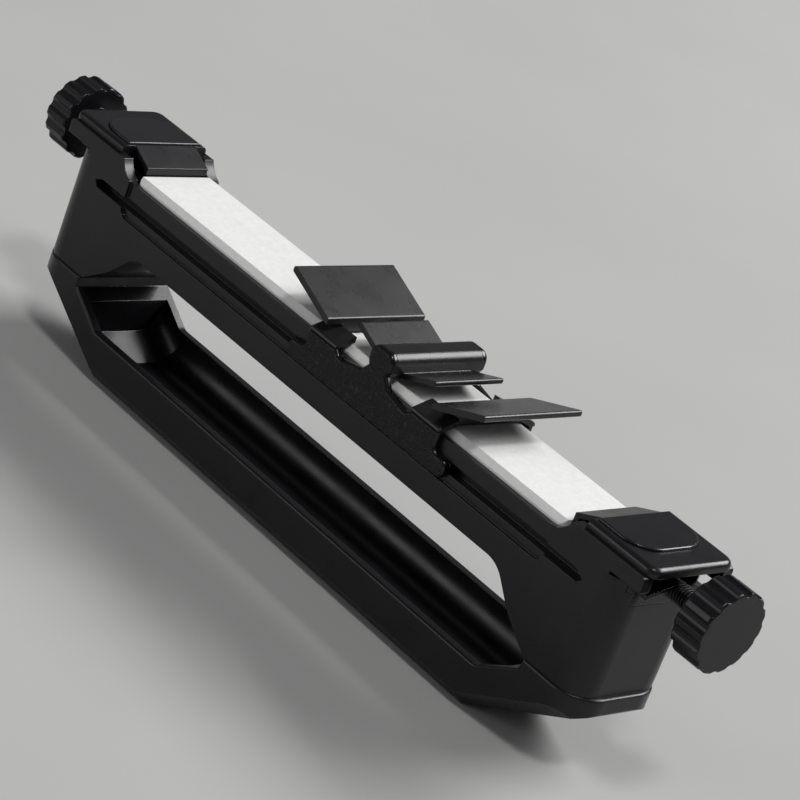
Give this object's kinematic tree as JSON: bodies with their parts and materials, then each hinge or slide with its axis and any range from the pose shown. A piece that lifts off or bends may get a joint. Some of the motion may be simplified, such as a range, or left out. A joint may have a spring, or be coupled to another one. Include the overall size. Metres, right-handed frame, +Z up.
{
  "type": "guided knife sharpener",
  "caption": "Bow-shaped knife sharpener: a white ceramic plate held on a frame by knob screws, a boat-shaped hand grip below and a sliding saddle whose slanted wings set the blade's angle.",
  "frame": {"origin": "middle of the footprint, on the surface that the grip's flat underside rests on", "axes": "+X along the plate towards the end nearer the camera in the picture, +Y across it away from the camera, +Z up out of the plate's working face"},
  "size_m": [0.242, 0.031, 0.0611],
  "materials": {
    "frame_plastic": "black, fine moulded grain, semi-gloss",
    "cap_plastic": "black, smooth semi-gloss",
    "knob_plastic": "black, smooth, slightly worn rim",
    "guide_plastic": "black, coarse leather-like moulded grain",
    "wing_plastic": "black, smooth semi-gloss, edges polished by use",
    "white_ceramic": "fine-grained, unglazed, near white",
    "carrier_steel": "bare stainless sheet",
    "screw_steel": "zinc-plated steel",
    "black_steel": "turned steel, blackened",
    "insert_brass": "turned, bare"
  },
  "bodies": {
    "base": {"ceramic_plate": "white_ceramic", "plate_carrier": "carrier_steel", "bow_frame": "frame_plastic", "handle": "frame_plastic", "handle_screws": "screw_steel", "handle_inserts": "insert_brass", "cover_screws": "screw_steel", "clamp_nuts": "screw_steel", "cover_near": "frame_plastic", "cover_far": "frame_plastic", "cap_near": "cap_plastic", "cap_far": "cap_plastic", "end_block_near": "frame_plastic", "end_block_far": "frame_plastic"},
    "guide": {"guide_cheek_front": "guide_plastic", "guide_cheek_back": "guide_plastic", "guide_tower": "wing_plastic", "guide_ramp_near": "wing_plastic", "guide_ramp_far": "wing_plastic", "guide_pins": "screw_steel"},
    "clamp_jaw_near": {"jaw_near": "frame_plastic"},
    "clamp_jaw_far": {"jaw_far": "frame_plastic"},
    "clamp_knob_near": {"knob_near": "knob_plastic", "screw_near": "black_steel", "clip_near": "screw_steel"},
    "clamp_knob_far": {"knob_far": "knob_plastic", "screw_far": "black_steel", "clip_far": "screw_steel"}
  },
  "joints": [
    {"name": "guide_slide", "type": "slide", "parent": "base", "child": "guide", "axis": [1, 0, 0], "range_m": [-0.068, 0.0328]},
    {"name": "jaw_near_slide", "type": "slide", "parent": "base", "child": "clamp_jaw_near", "axis": [1, 0, 0], "range_m": [0, 0.0025]},
    {"name": "knob_near_turn", "type": "hinge", "parent": "clamp_jaw_near", "child": "clamp_knob_near", "pos_m": [0.1, 0, 0.049], "axis": [1, 0, 0], "range_deg": [0, 1125]},
    {"name": "jaw_far_slide", "type": "slide", "parent": "base", "child": "clamp_jaw_far", "axis": [-1, 0, 0], "range_m": [0, 0.0025]},
    {"name": "knob_far_turn", "type": "hinge", "parent": "clamp_jaw_far", "child": "clamp_knob_far", "pos_m": [-0.1, 0, 0.049], "axis": [-1, 0, 0], "range_deg": [0, 1125]}
  ],
  "couplings": [
    {"joint": "jaw_near_slide", "follows": "knob_near_turn", "m_per_rad": 0.0001273},
    {"joint": "jaw_far_slide", "follows": "knob_far_turn", "m_per_rad": 0.0001273}
  ]
}
